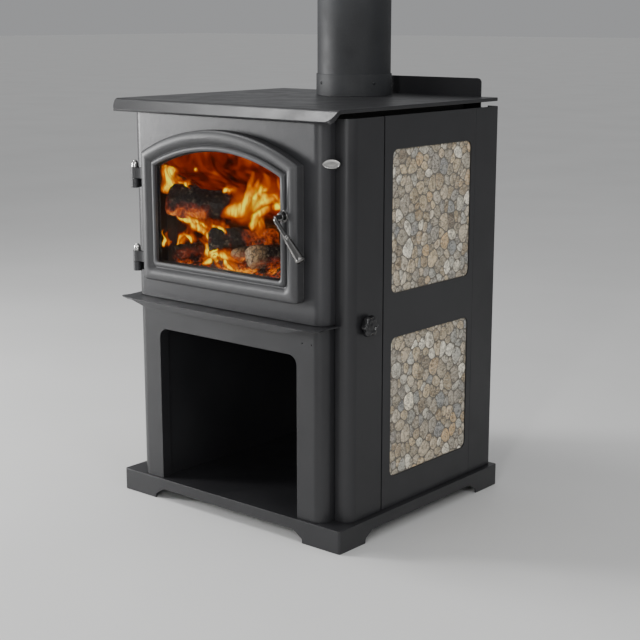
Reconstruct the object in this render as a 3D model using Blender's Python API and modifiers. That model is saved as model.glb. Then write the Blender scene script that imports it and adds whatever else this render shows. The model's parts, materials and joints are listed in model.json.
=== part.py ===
"""Wood burning stove on a log store pedestal.

Metres, +Z up, front towards -Y. The sizes below are measured from the floor under the
centre of the base; ORIGIN moves the finished stove so that the floor under the centre of
its bounding box is the world origin.
"""
import math

import bmesh
import bpy
from mathutils import Matrix, Vector

# ---------------------------------------------------------------- driving dimensions
GAP = 0.0003                 # clearance between touching pieces

BASE_W = 0.660
BASE_D = 0.596
BASE_H = 0.051
BASE_WALL = 0.004
BASE_ARCH_H = 0.0255
BASE_FOOT_FRONT = 0.105      # length of a foot along the front
BASE_FOOT_SIDE = 0.088       # length of a foot along the side

FRONT_Y = -0.2903            # front face of the stove body
BODY_HALF = 0.279
STORE_HALF = 0.2775          # the log store front is a touch narrower
CORNER_R = 0.026
BODY_WING_Y = -0.246         # where the bent sides of the body fronts end
SHEET = 0.003
FRONT_T = 0.004
CASTING_T = 0.006

CASE_HALF = 0.3175
CASE_FRONT = -0.253
CASE_BACK = 0.286
CASE_TOP = 0.902
SEAM_Y = -0.1425             # rear edge of the front column
SEAM = 0.004                 # open seam between column and side panel
REAR_SEAM_Y = 0.1930

TOP_Z = 0.922
PLATE = 0.008
PLATE_HALF = 0.325
PLATE_BACK = 0.2715
SHIELD_TOP = 0.963
SHIELD_X = (-0.205, 0.2755)  # the part of the rear shield that stands above the top plate

LIP_Z = 0.4785               # top of the ash lip
LIP_FRONT = -0.336
STORE_OPEN_HALF = 0.206
STORE_OPEN_TOP = 0.4085
STORE_OPEN_R = 0.022

BOX_HALF = 0.250             # firebox shell
BOX_BOTTOM = 0.497
BOX_BACK = 0.240
BRICK = 0.032
FLUE_Y = 0.154
FLUE_R = 0.0765              # bore of the flue way
PIPE_R = 0.0855
PIPE_TOP = 1.235
COLLAR_TOP = 0.971

DOOR_HALF = 0.228
DOOR_BOTTOM = 0.5235
DOOR_APEX = 0.867
DOOR_ARC_R = 0.473
DOOR_BACK = -0.2933
DOOR_CORNERS = ((0.0, 0.008), (0.016, 0.015), (0.030, 0.011), (0.048, 0.007))
TOP_CORNER_R = 0.005
DOOR_OPEN_INSET = 0.010      # the body's door opening lies this far inside the door's edge
HINGE = Vector((-0.255, -0.3075, 0.0))
HINGE_HEIGHTS = {"upper": 0.773, "lower": 0.585}
PIN_R = 0.004
KNUCKLE_R = 0.0095

HANDLE = Vector((0.198, -0.348, 0.7045))
HANDLE_END = Vector((0.2715, -0.348, 0.6205))
BUSHING_Y = -0.3193          # where the handle bushing sits on the door
ROD_R = 0.0048
AIR_KNOB = Vector((CASE_HALF, -0.198, 0.474))
AIR_ROD_R = 0.004

STONE_Y = (-0.111, 0.177)
STONE_Z = {"lower": (0.120, 0.4305), "upper": (0.5265, 0.832)}
STONE_R = 0.016
TILE_LAP = 0.008             # how far a stone tile laps behind the panel

GRIP_LENGTH = 0.056
GRIP_CAP_R = 0.0104
GRIP_OFFSET = 0.046          # from the spindle axis to the grip
KNOB_FACE_X = CASE_HALF + 0.0192
REVEAL = 0.026               # depth of the log store's rim
STORE_BACK = 0.200
BRICK_L = 0.2290             # a full brick, 9 inches

# centre of the bounding box: the knob and the handle reach past the base
ORIGIN = Vector(((KNOB_FACE_X - BASE_W / 2) / 2, (BASE_D / 2 + HANDLE.y - GRIP_CAP_R) / 2, 0))

ARC_STEPS = 6                # facets in a quarter turn
ROUND = 32                   # facets round a turned piece

COLOURS = {
    "black_paint": ((0.045, 0.045, 0.047), 0.45, 0.3),
    "cast_paint": ((0.05, 0.05, 0.052), 0.5, 0.3),
    "dark_steel": ((0.03, 0.03, 0.032), 0.6, 0.4),
    "pipe_paint": ((0.05, 0.05, 0.052), 0.4, 0.4),
    "stainless": ((0.55, 0.55, 0.55), 0.3, 1.0),
    "nickel": ((0.62, 0.6, 0.57), 0.28, 1.0),
    "stone": ((0.55, 0.52, 0.47), 0.6, 0.0),
    "firebrick": ((0.55, 0.45, 0.33), 0.9, 0.0),
    "ceramic_board": ((0.75, 0.72, 0.65), 0.9, 0.0),
    "glass": ((0.8, 0.85, 0.85), 0.05, 0.0),
    "rope_seal": ((0.25, 0.25, 0.25), 0.95, 0.0),
    "knob_black": ((0.01, 0.01, 0.01), 0.12, 0.0),
}


# ---------------------------------------------------------------- scene helpers
def clear_scene():
    for obj in list(bpy.data.objects):
        bpy.data.objects.remove(obj)


def collection(name):
    made = bpy.data.collections.new(name)
    bpy.context.scene.collection.children.link(made)
    return made


def material(name):
    found = bpy.data.materials.get(name)
    if found:
        return found
    colour, rough, metal = COLOURS[name]
    made = bpy.data.materials.new(name)
    made.use_nodes = True
    shader = made.node_tree.nodes["Principled BSDF"]
    shader.inputs["Base Color"].default_value = (*colour, 1.0)
    shader.inputs["Roughness"].default_value = rough
    shader.inputs["Metallic"].default_value = metal
    return made


def place(obj, look, smooth=True):
    """Link a finished part into the stove's collection and give it its material."""
    stove.objects.link(obj)
    obj.location = -ORIGIN
    obj.data.materials.clear()
    obj.data.materials.append(material(look))
    if smooth:
        obj.data.shade_smooth()
        obj.data.set_sharp_from_angle(angle=math.radians(32))
    return obj


def as_cutter(obj):
    cutters.objects.link(obj)
    obj.hide_render = True
    obj.display_type = "WIRE"
    return obj


def from_bmesh(name, bm):
    bmesh.ops.recalc_face_normals(bm, faces=bm.faces)
    mesh = bpy.data.meshes.new(name)
    bm.to_mesh(mesh)
    bm.free()
    return bpy.data.objects.new(name, mesh)


def combine(obj, tools, operation):
    """Apply EXACT Booleans to a mesh object that is not yet in a collection."""
    work = bpy.context.scene.collection
    work.objects.link(obj)
    for tool in tools:
        mod = obj.modifiers.new(tool.name, "BOOLEAN")
        mod.operation = operation
        mod.solver = "EXACT"
        mod.object = tool
    bpy.context.view_layer.update()
    depsgraph = bpy.context.evaluated_depsgraph_get()
    mesh = bpy.data.meshes.new_from_object(obj.evaluated_get(depsgraph))
    obj.modifiers.clear()
    obj.data = mesh
    work.objects.unlink(obj)
    return obj


def cut(obj, *tools):
    return combine(obj, [as_cutter(tool) for tool in tools], "DIFFERENCE")


def keep_inside(obj, tool):
    return combine(obj, [as_cutter(tool)], "INTERSECT")


def join(obj, *tools):
    return combine(obj, [as_cutter(tool) for tool in tools], "UNION")


# ---------------------------------------------------------------- outlines
def fillet(points, radii, steps=ARC_STEPS):
    """Round the corners of a closed polygon; a radius of 0 keeps the corner."""
    rounded = []
    count = len(points)
    for i, (point, radius) in enumerate(zip(points, radii)):
        here = Vector(point)
        if radius <= 0:
            rounded.append(tuple(here))
            continue
        before = (Vector(points[i - 1]) - here).normalized()
        after = (Vector(points[(i + 1) % count]) - here).normalized()
        half_angle = before.angle(after) / 2
        centre = here + (before + after).normalized() * (radius / math.sin(half_angle))
        first = here + before * (radius / math.tan(half_angle)) - centre
        last = here + after * (radius / math.tan(half_angle)) - centre
        turn = first.angle_signed(last)
        for k in range(steps + 1):
            spoke = first.copy()
            spoke.rotate(Matrix.Rotation(-turn * k / steps, 2))
            rounded.append(tuple(centre + spoke))
    return rounded


def rounded_rect(x0, x1, y0, y1, radii, steps=ARC_STEPS):
    corners = [(x0, y0), (x1, y0), (x1, y1), (x0, y1)]
    if not isinstance(radii, (tuple, list)):
        radii = (radii,) * 4
    return fillet(corners, radii, steps)


def circle(cx, cy, radius, count=ROUND):
    return [(cx + radius * math.cos(2 * math.pi * k / count),
             cy + radius * math.sin(2 * math.pi * k / count)) for k in range(count)]


def slot_outline(cx, cy, length, width, steps=4):
    return rounded_rect(cx - length / 2, cx + length / 2, cy - width / 2, cy + width / 2,
                        width / 2 * 0.999, steps)


def corner_radius(inset):
    """The door's corners are tight outside, fullest on the crown and easier at the glass."""
    for (x0, r0), (x1, r1) in zip(DOOR_CORNERS, DOOR_CORNERS[1:]):
        if inset <= x1:
            return r0 + (r1 - r0) * (inset - x0) / (x1 - x0)
    return DOOR_CORNERS[-1][1]


def door_outline(inset, arc_steps=26):
    """Arched door outline in X, Z, moved inwards by inset."""
    half = DOOR_HALF - inset
    bottom = DOOR_BOTTOM + inset
    radius = DOOR_ARC_R - inset
    centre_z = DOOR_APEX - DOOR_ARC_R
    swing = math.asin(half / radius)
    arc = [(radius * math.sin(swing * (1 - 2 * k / arc_steps)),
            centre_z + radius * math.cos(swing * (1 - 2 * k / arc_steps)))
           for k in range(arc_steps + 1)]
    points = [(-half, bottom), (half, bottom)] + arc
    radius = corner_radius(inset)
    radii = [radius, radius, TOP_CORNER_R] + [0.0] * (arc_steps - 1) + [TOP_CORNER_R]
    return fillet(points, radii, steps=5)


# ---------------------------------------------------------------- solids
PLANES = {
    "XY": Matrix.Identity(4),
    "XZ": Matrix(((1, 0, 0, 0), (0, 0, 1, 0), (0, 1, 0, 0), (0, 0, 0, 1))),
    "YZ": Matrix(((0, 0, 1, 0), (1, 0, 0, 0), (0, 1, 0, 0), (0, 0, 0, 1))),
}


def flat(name, outlines, low, high, plane):
    """A flat part: closed outlines in a plane, filled and extruded from low to high."""
    curve = bpy.data.curves.new(name, "CURVE")
    curve.dimensions = "2D"
    curve.fill_mode = "BOTH"
    curve.extrude = (high - low) / 2
    for outline in outlines:
        spline = curve.splines.new("POLY")
        spline.points.add(len(outline) - 1)
        spline.use_cyclic_u = True
        for point, (u, v) in zip(spline.points, outline):
            point.co = (u, v, 0.0, 1.0)
    source = bpy.data.objects.new(name, curve)
    bpy.context.scene.collection.objects.link(source)
    bpy.context.view_layer.update()
    depsgraph = bpy.context.evaluated_depsgraph_get()
    mesh = bpy.data.meshes.new_from_object(source.evaluated_get(depsgraph))
    bpy.data.objects.remove(source)
    bm = bmesh.new()
    bm.from_mesh(mesh)
    bpy.data.meshes.remove(mesh)
    bmesh.ops.remove_doubles(bm, verts=bm.verts, dist=1e-6)
    bmesh.ops.translate(bm, verts=bm.verts, vec=(0, 0, (low + high) / 2))
    bmesh.ops.transform(bm, verts=bm.verts, matrix=PLANES[plane])
    return from_bmesh(name, bm)


def box(name, low, high, bevel=0.0):
    bm = bmesh.new()
    bmesh.ops.create_cube(bm, size=1.0)
    low, high = Vector(low), Vector(high)
    bmesh.ops.scale(bm, verts=bm.verts, vec=high - low)
    bmesh.ops.translate(bm, verts=bm.verts, vec=(low + high) / 2)
    if bevel:
        bmesh.ops.bevel(bm, geom=bm.edges[:], offset=bevel, segments=1, affect="EDGES")
    return from_bmesh(name, bm)


def rod(name, radius, start, end, count=ROUND, end_radius=None):
    """A cylinder or cone between two points."""
    start, end = Vector(start), Vector(end)
    along = end - start
    bm = bmesh.new()
    bmesh.ops.create_cone(bm, cap_ends=True, segments=count, radius1=radius,
                          radius2=radius if end_radius is None else end_radius,
                          depth=along.length)
    turn = Vector((0, 0, 1)).rotation_difference(along).to_matrix().to_4x4()
    bmesh.ops.transform(bm, verts=bm.verts,
                        matrix=Matrix.Translation((start + end) / 2) @ turn)
    return from_bmesh(name, bm)


def turned(name, profile, base, direction, count=ROUND):
    """A turned solid: (radius, height) points, top to bottom, both ends on the axis."""
    mesh = bpy.data.meshes.new(name)
    mesh.from_pydata([(r, 0, h) for r, h in profile],
                     [(i, i + 1) for i in range(len(profile) - 1)], [])
    obj = bpy.data.objects.new(name, mesh)
    screw = obj.modifiers.new("turn", "SCREW")
    screw.steps = count
    screw.render_steps = count
    screw.use_merge_vertices = True
    screw.merge_threshold = 0.00001
    bpy.context.scene.collection.objects.link(obj)
    bpy.context.view_layer.update()
    depsgraph = bpy.context.evaluated_depsgraph_get()
    solid = bpy.data.meshes.new_from_object(obj.evaluated_get(depsgraph))
    bpy.data.objects.remove(obj)
    bm = bmesh.new()
    bm.from_mesh(solid)
    bpy.data.meshes.remove(solid)
    bmesh.ops.remove_doubles(bm, verts=bm.verts, dist=1e-6)
    turn = Vector((0, 0, 1)).rotation_difference(Vector(direction)).to_matrix().to_4x4()
    bmesh.ops.transform(bm, verts=bm.verts, matrix=Matrix.Translation(base) @ turn)
    return from_bmesh(name, bm)


def loft(name, rings, closed=True):
    """Skin a list of equal-count rings; closed joins the last ring to the first."""
    bm = bmesh.new()
    rows = [[bm.verts.new(point) for point in ring] for ring in rings]
    pairs = list(zip(rows, rows[1:] + rows[:1])) if closed else list(zip(rows, rows[1:]))
    for here, there in pairs:
        for k in range(len(here)):
            nxt = (k + 1) % len(here)
            bm.faces.new((here[k], here[nxt], there[nxt], there[k]))
    return from_bmesh(name, bm)


def door_ring(name, profile):
    """Sweep a closed (inset, y) profile round the arched door outline."""
    rings = [[(x, y, z) for x, z in door_outline(inset)] for inset, y in profile]
    return loft(name, rings)


def bent_front(name, half, thickness, z0, z1):
    """The U-shaped body front: flat face, rounded corners and short sides."""
    outer = fillet([(-half, BODY_WING_Y), (-half, FRONT_Y), (half, FRONT_Y),
                    (half, BODY_WING_Y)], (0, CORNER_R, CORNER_R, 0), steps=8)
    inner_half = half - thickness
    inner_r = CORNER_R - thickness
    inner = fillet([(inner_half, BODY_WING_Y), (inner_half, FRONT_Y + thickness),
                    (-inner_half, FRONT_Y + thickness), (-inner_half, BODY_WING_Y)],
                   (0, inner_r, inner_r, 0), steps=8)
    return flat(name, [outer + inner], z0, z1, "XY")


# ---------------------------------------------------------------- base and log store
def make_base():
    outline = rounded_rect(-BASE_W / 2, BASE_W / 2, -BASE_D / 2, BASE_D / 2, 0.006, 4)
    base = flat("base_plinth", [outline], 0.0, BASE_H, "XY")
    inner_x = BASE_W / 2 - BASE_WALL
    inner_y = BASE_D / 2 - BASE_WALL
    hollow = box("cut_base_hollow", (-inner_x, -inner_y, -0.01),
                 (inner_x, inner_y, BASE_H - BASE_WALL))
    arches = []
    for plane, half, foot in (("XZ", BASE_W / 2, BASE_FOOT_FRONT),
                              ("YZ", BASE_D / 2, BASE_FOOT_SIDE)):
        reach = half - foot
        shape = fillet([(-reach, -0.01), (reach, -0.01), (reach, 0.010),
                        (reach - 0.026, BASE_ARCH_H), (-reach + 0.026, BASE_ARCH_H),
                        (-reach, 0.010)], (0, 0, 0.008, 0.010, 0.010, 0.008), steps=3)
        arches.append(flat("cut_base_arch_" + plane.lower(), [shape], -0.5, 0.5, plane))
    cut(base, hollow, *arches)
    place(base, "black_paint")


def make_store_front():
    z0 = BASE_H + GAP
    front = bent_front("store_front", STORE_HALF, FRONT_T, z0, LIP_Z - SHEET - GAP)
    rim = 0.004
    outer = rounded_rect(-STORE_OPEN_HALF - rim, STORE_OPEN_HALF + rim, z0,
                         STORE_OPEN_TOP + rim, (0, 0, STORE_OPEN_R + rim, STORE_OPEN_R + rim))
    reveal = flat("join_store_reveal", [outer], FRONT_Y + 0.0005, FRONT_Y + REVEAL, "XZ")
    join(front, reveal)
    opening = rounded_rect(-STORE_OPEN_HALF, STORE_OPEN_HALF, 0.0, STORE_OPEN_TOP,
                           (0, 0, STORE_OPEN_R, STORE_OPEN_R))
    tools = [flat("cut_store_opening", [opening], FRONT_Y - 0.05, FRONT_Y + 0.05, "XZ")]
    for k, x in enumerate((0.2215, 0.2475)):
        tools.append(rod(f"cut_pilot_hole_{k}", 0.0016, (x, FRONT_Y - 0.01, 0.4377),
                         (x, FRONT_Y + 0.01, 0.4377), 12))
    cut(front, *tools)
    place(front, "black_paint")


def make_log_store():
    z0 = BASE_H + GAP
    wall_out = STORE_OPEN_HALF + 0.0065
    wall_in = wall_out - SHEET
    front = FRONT_Y + REVEAL + GAP
    back = STORE_BACK
    top = BOX_BOTTOM - GAP
    for side, sign in (("left", -1), ("right", 1)):
        xs = sorted((sign * wall_in, sign * wall_out))
        wall = box(f"store_{side}_wall", (xs[0], front, z0), (xs[1], back, top))
        if side == "right":
            hole = rod("cut_wall_rod_hole", AIR_ROD_R + 0.002, (wall_in - 0.01, *AIR_KNOB.yz),
                       (wall_out + 0.01, *AIR_KNOB.yz), 16)
            cut(wall, hole)
        place(wall, "black_paint")
    place(box("store_back_wall", (-wall_out, back + GAP, z0), (wall_out, back + 0.003, top)),
          "black_paint")
    place(box("store_ceiling", (-wall_in + GAP, front, 0.4130), (wall_in - GAP, back, 0.4160)),
          "black_paint")


def make_ash_lip():
    """Sheet tray between the two body fronts, with wings and a folded front edge."""
    rear = CASE_FRONT - 0.004
    inner_half = BODY_HALF - 0.004
    right = fillet([(0.205, LIP_FRONT + 0.001), (0.262, LIP_FRONT + 0.001), (0.296, -0.322),
                    (0.290, -0.300), (0.294, rear)], (0, 0.010, 0.004, 0.010, 0), steps=4)[1:]
    left = [(-x, y) for x, y in reversed(right)]
    inner = fillet([(-inner_half, rear), (-inner_half, FRONT_Y + 0.004),
                    (inner_half, FRONT_Y + 0.004), (inner_half, rear)],
                   (0, 0.022, 0.022, 0), steps=8)
    tray = flat("ash_lip", [right + list(reversed(inner)) + left], LIP_Z - SHEET, LIP_Z, "XY")
    drop = [(-0.250, LIP_Z - 0.0020), (-0.205, LIP_Z - 0.014), (0.205, LIP_Z - 0.014),
            (0.250, LIP_Z - 0.0020), (0.248, LIP_Z - 0.0008), (-0.248, LIP_Z - 0.0008)]
    flange = flat("join_lip_flange", [drop], LIP_FRONT, LIP_FRONT + 0.003, "XZ")
    join(tray, flange)
    place(tray, "black_paint")


# ---------------------------------------------------------------- firebox
def make_firebox_front():
    front = bent_front("firebox_front", BODY_HALF, CASTING_T, LIP_Z + GAP, TOP_Z - PLATE - GAP)
    opening = flat("cut_door_opening", [door_outline(DOOR_OPEN_INSET)],
                   FRONT_Y - 0.05, FRONT_Y + 0.05, "XZ")
    cut(front, opening)
    place(front, "cast_paint")


def make_firebox_shell():
    front = FRONT_Y + CASTING_T + GAP
    wall = 0.006
    top = TOP_Z - PLATE - GAP
    shell = box("firebox_shell", (-BOX_HALF, front, BOX_BOTTOM), (BOX_HALF, BOX_BACK, top))
    chamber = box("cut_chamber", (-BOX_HALF + wall, front - 0.05, BOX_BOTTOM + wall),
                  (BOX_HALF - wall, BOX_BACK - wall, top - wall))
    flue = rod("cut_shell_flue", FLUE_R, (0, FLUE_Y, top - 0.05), (0, FLUE_Y, top + 0.05))
    inlet = box("cut_shell_inlet", (0.135, -0.268, BOX_BOTTOM - 0.01),
                (0.195, -0.240, BOX_BOTTOM + 0.02))
    cut(shell, chamber, flue, inlet)
    place(shell, "dark_steel")


def make_firebricks():
    wall = BOX_HALF - 0.006 - GAP
    floor_z = BOX_BOTTOM + 0.006 + GAP
    floor_top = floor_z + BRICK
    back = BOX_BACK - 0.006 - GAP
    front = back - 2 * BRICK_L
    width = 2 * wall / 3
    for k in range(3):
        x = -wall + k * width
        place(box(f"floor_firebrick_{k + 1}", (x + GAP / 2, front, floor_z),
                  (x + width - GAP / 2, back, floor_top), 0.002), "firebrick")
    z0 = floor_top + GAP
    z1 = z0 + BRICK_L
    for side, sign in (("left", -1), ("right", 1)):
        xs = sorted((sign * wall, sign * (wall - BRICK)))
        for k in range(2):
            y = front + k * BRICK_L
            place(box(f"{side}_firebrick_{k + 1}", (xs[0], y + GAP / 2, z0),
                      (xs[1], y + BRICK_L - GAP / 2, z1), 0.002), "firebrick")
    inner = wall - BRICK - GAP
    place(box("back_firebrick", (-inner, back - BRICK, z0), (inner, back, z1), 0.002), "firebrick")


def make_baffle():
    wall = BOX_HALF - 0.006 - 0.001
    tube_z = 0.7765
    tube_r = 0.0105
    for k, y in enumerate((-0.150, -0.030, 0.090)):
        tube = rod(f"air_tube_{k + 1}", tube_r, (-wall, y, tube_z), (wall, y, tube_z), 20)
        bore = rod(f"cut_air_tube_{k + 1}", tube_r - 0.0015, (-wall - 0.01, y, tube_z),
                   (wall + 0.01, y, tube_z), 20)
        cut(tube, bore)
        place(tube, "stainless")
    z0 = tube_z + tube_r + GAP
    place(box("baffle_board", (-wall, -0.170, z0), (wall, 0.232, z0 + 0.022), 0.0015),
          "ceramic_board")


def make_top_plate():
    """Cooking top: flat plate whose front edge bends down, with rounded front corners."""
    bend_y = -0.290
    outer_r = 0.016
    inner_r = outer_r - PLATE
    bend_z = TOP_Z - outer_r
    turn = math.radians(48)
    drop = 0.0238

    def edge(radius):
        points = []
        for k in range(7):
            angle = math.pi / 2 + turn * k / 6
            points.append((bend_y + radius * math.cos(angle), bend_z + radius * math.sin(angle)))
        y, z = points[-1]
        points.append((y - drop * math.cos(turn), z - drop * math.sin(turn)))
        return points

    profile = [(PLATE_BACK, TOP_Z)] + edge(outer_r)
    profile += list(reversed(edge(inner_r))) + [(PLATE_BACK, TOP_Z - PLATE)]
    plate = flat("top_plate", [profile], -PLATE_HALF, PLATE_HALF, "YZ")
    footprint = rounded_rect(-PLATE_HALF + 0.0002, PLATE_HALF - 0.0002, -0.3186,
                             PLATE_BACK - 0.0002, (0.026, 0.026, 0.006, 0.006), 8)
    keep_inside(plate, flat("keep_top_footprint", [footprint], 0.80, 1.0, "XY"))
    cut(plate, rod("cut_top_flue", FLUE_R, (0, FLUE_Y, 0.85), (0, FLUE_Y, 0.95)))
    place(plate, "black_paint")


def make_flue():
    z0 = TOP_Z + GAP
    for name, outer, inner, top, look in (
            ("flue_collar", 0.0880, 0.0860, COLLAR_TOP, "pipe_paint"),
            ("flue_pipe", PIPE_R, PIPE_R - 0.0015, PIPE_TOP, "pipe_paint"),
            ("flue_liner", 0.0775, FLUE_R, PIPE_TOP, "stainless")):
        tube = flat(name, [circle(0, FLUE_Y, outer, 48), circle(0, FLUE_Y, inner, 48)],
                    z0, top, "XY")
        place(tube, look)


# ---------------------------------------------------------------- casing
def make_columns():
    z0 = BASE_H + GAP
    inner = CASE_HALF - SHEET
    for side, sign in (("left", -1), ("right", 1)):
        start = BODY_HALF + GAP
        front = fillet([(start, CASE_FRONT), (CASE_HALF, CASE_FRONT), (CASE_HALF, SEAM_Y)],
                       (0, 0.026, 0), steps=8)
        back = fillet([(inner, SEAM_Y), (inner, CASE_FRONT + SHEET), (start, CASE_FRONT + SHEET)],
                      (0, 0.023, 0), steps=8)
        outline = [(sign * x, y) for x, y in front + back]
        column = flat(f"{side}_front_column", [outline], z0, CASE_TOP, "XY")
        if side == "right":
            hole = rod("cut_column_rod_hole", AIR_ROD_R + 0.002, (0.30, *AIR_KNOB.yz),
                       (0.33, *AIR_KNOB.yz), 16)
            cut(column, hole)
        place(column, "black_paint")
        y0 = REAR_SEAM_Y + 0.0006
        outer_line = fillet([(CASE_HALF, y0), (CASE_HALF, CASE_BACK), (CASE_HALF - 0.030, CASE_BACK)],
                            (0, 0.008, 0), steps=4)
        inner_line = fillet([(CASE_HALF - 0.030, CASE_BACK - SHEET), (inner, CASE_BACK - SHEET),
                             (inner, y0)], (0, 0.005, 0), steps=4)
        outline = [(sign * x, y) for x, y in outer_line + inner_line]
        place(flat(f"{side}_rear_column", [outline], z0, CASE_TOP, "XY"), "black_paint")


def make_side_panels():
    z0 = BASE_H + GAP
    sheet_in = CASE_HALF - SHEET
    for side, sign in (("left", -1), ("right", 1)):
        outline = rounded_rect(SEAM_Y + SEAM, REAR_SEAM_Y, z0, CASE_TOP, 0)
        windows = [rounded_rect(*STONE_Y, *STONE_Z[level], STONE_R)
                   for level in ("lower", "upper")]
        low, high = sorted((sign * sheet_in, sign * CASE_HALF))
        place(flat(f"{side}_side_panel", [outline] + windows, low, high, "YZ"), "black_paint")
        for level in ("lower", "upper"):
            z_low, z_high = STONE_Z[level]
            tile = rounded_rect(STONE_Y[0] - TILE_LAP, STONE_Y[1] + TILE_LAP, z_low - TILE_LAP,
                                z_high + TILE_LAP, 0.006, 3)
            low, high = sorted((sign * (sheet_in - GAP), sign * (sheet_in - 0.0085)))
            place(flat(f"{side}_{level}_stone", [tile], low, high, "YZ"), "stone")
        xs = sorted((sign * 0.2880, sign * 0.2895))
        place(box(f"{side}_inner_shield", (xs[0], -0.130, 0.060), (xs[1], 0.255, 0.890)),
              "dark_steel")


def make_rear_shield():
    y0 = PLATE_BACK + 0.0005
    wide = CASE_HALF - SHEET - 0.001
    outline = fillet([(-wide, BASE_H + GAP), (wide, BASE_H + GAP), (wide, 0.898),
                      (SHIELD_X[1], 0.898), (SHIELD_X[1], SHIELD_TOP), (SHIELD_X[0], SHIELD_TOP),
                      (SHIELD_X[0], 0.898), (-wide, 0.898)],
                     (0, 0, 0.004, 0, 0.010, 0.010, 0, 0.004), steps=5)
    slots = [slot_outline(x * 0.058, z, 0.040, 0.008)
             for z in (0.10, 0.125, 0.835, 0.86) for x in range(-4, 5)]
    place(flat("rear_shield", [outline] + slots, y0, y0 + 0.003, "XZ"), "black_paint")


def make_badge():
    """Plain oval plate on the right front corner, set square to the diagonal."""
    ring = [(0.018 * math.cos(a), 0.0095 * math.sin(a))
            for a in (2 * math.pi * k / 28 for k in range(28))]
    badge = flat("oval_badge", [ring], -0.0015, 0.0015, "XZ")
    corner = Vector((BODY_HALF - CORNER_R, FRONT_Y + CORNER_R, 0.8125))
    out = Vector((1, -1, 0)).normalized()
    along = Vector((1, 1, 0)).normalized()
    centre = corner + out * (CORNER_R + GAP + 0.0015) + along * 0.017
    turn = Matrix.Rotation(math.radians(45), 4, "Z")
    badge.data.transform(Matrix.Translation(centre) @ turn)
    place(badge, "nickel")


# ---------------------------------------------------------------- door
def hinge_empty(name, where):
    empty = bpy.data.objects.new(name, None)
    empty.location = where - ORIGIN
    stove.objects.link(empty)
    return empty


def hang(parts, empty):
    """Parent parts to an empty on their axis, keeping them where they are."""
    for part in parts:
        part.parent = empty
        part.matrix_parent_inverse = Matrix.Translation(-empty.location)


def make_door():
    frame = door_ring("door_frame", [
        (0.0, DOOR_BACK), (0.0, -0.3115), (0.0015, -0.3145), (0.0050, -0.3168),
        (0.0105, -0.3184), (0.0160, -0.3188), (0.0210, -0.3176), (0.0250, -0.3148),
        (0.0285, -0.3112), (0.0300, -0.3100), (0.0312, -0.3100), (0.0325, -0.3135),
        (0.0350, -0.3158), (0.0380, -0.3166), (0.0410, -0.3162), (0.0435, -0.3145),
        (0.0435, -0.3085), (0.0330, -0.3085), (0.0330, DOOR_BACK)])
    pad = rod("join_door_boss", 0.0130, (HANDLE.x, BUSHING_Y + GAP, HANDLE.z),
              (HANDLE.x, DOOR_BACK - 0.001, HANDLE.z), 24)
    join(frame, pad)
    cut(frame, rod("cut_door_spindle", ROD_R + 0.0012, (HANDLE.x, -0.34, HANDLE.z),
                   (HANDLE.x, -0.28, HANDLE.z), 20))
    glass = flat("door_glass", [door_outline(0.0360)], -0.3065, -0.3015, "XZ")
    gasket = door_ring("glass_gasket", [(0.0363, -0.3082), (0.0425, -0.3082),
                                        (0.0425, -0.3068), (0.0363, -0.3068)])
    retainer = door_ring("glass_retainer", [(0.0363, -0.3012), (0.0465, -0.3012),
                                            (0.0465, -0.2992), (0.0363, -0.2992)])
    notch = rod("cut_retainer_notch", 0.0136, (HANDLE.x, -0.31, HANDLE.z),
                (HANDLE.x, -0.28, HANDLE.z), 24)
    for thin in (glass, gasket, retainer):
        cutter = notch.copy()
        cutter.data = notch.data.copy()
        cutter.name = "cut_boss_" + thin.name
        cut(thin, cutter)
    seal = door_ring("door_gasket", [(0.0015, -0.2930), (0.0085, -0.2930),
                                     (0.0085, -0.2906), (0.0015, -0.2906)])
    return [place(frame, "cast_paint"), place(glass, "glass"), place(gasket, "rope_seal"),
            place(retainer, "dark_steel"), place(seal, "rope_seal")]


def make_hinges():
    """Lift-off hinges: the door's knuckle sits on the stove's, on a pin with a domed cap."""
    on_door = []
    for level, top in HINGE_HEIGHTS.items():
        axis = Vector((HINGE.x, HINGE.y, 0))
        middle = top - 0.0250
        foot = middle - 0.0210

        def barrel(name, z0, z1, web_low, web_high):
            body = rod(name, KNUCKLE_R, axis + Vector((0, 0, z0)), axis + Vector((0, 0, z1)), 24)
            join(body, box("join_web_" + name, web_low, web_high))
            cut(body, rod("cut_bore_" + name, PIN_R + 0.0003, axis + Vector((0, 0, z0 - 0.01)),
                          axis + Vector((0, 0, z1 + 0.01)), 24))
            return place(body, "cast_paint")

        on_door.append(barrel(f"{level}_door_knuckle", middle + GAP, top,
                              (HINGE.x, HINGE.y - 0.0045, middle + 0.0010),
                              (-DOOR_HALF - GAP, HINGE.y + 0.0045, top - 0.0010)))
        barrel(f"{level}_stove_knuckle", foot, middle - GAP,
               (HINGE.x - 0.005, HINGE.y, foot + 0.0005),
               (HINGE.x + 0.006, FRONT_Y - GAP, middle - 0.0010))
        cap = 0.0160
        profile = [(0, cap), (0.0032, cap - 0.0006), (0.0058, cap - 0.0026),
                   (0.0074, cap - 0.0060), (0.0080, cap - 0.0100), (0.0080, GAP),
                   (PIN_R, GAP), (PIN_R, foot - top), (0, foot - top)]
        place(turned(f"{level}_hinge_pin", profile, axis + Vector((0, 0, top)), (0, 0, 1), 24),
              "nickel")
    return on_door


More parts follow.
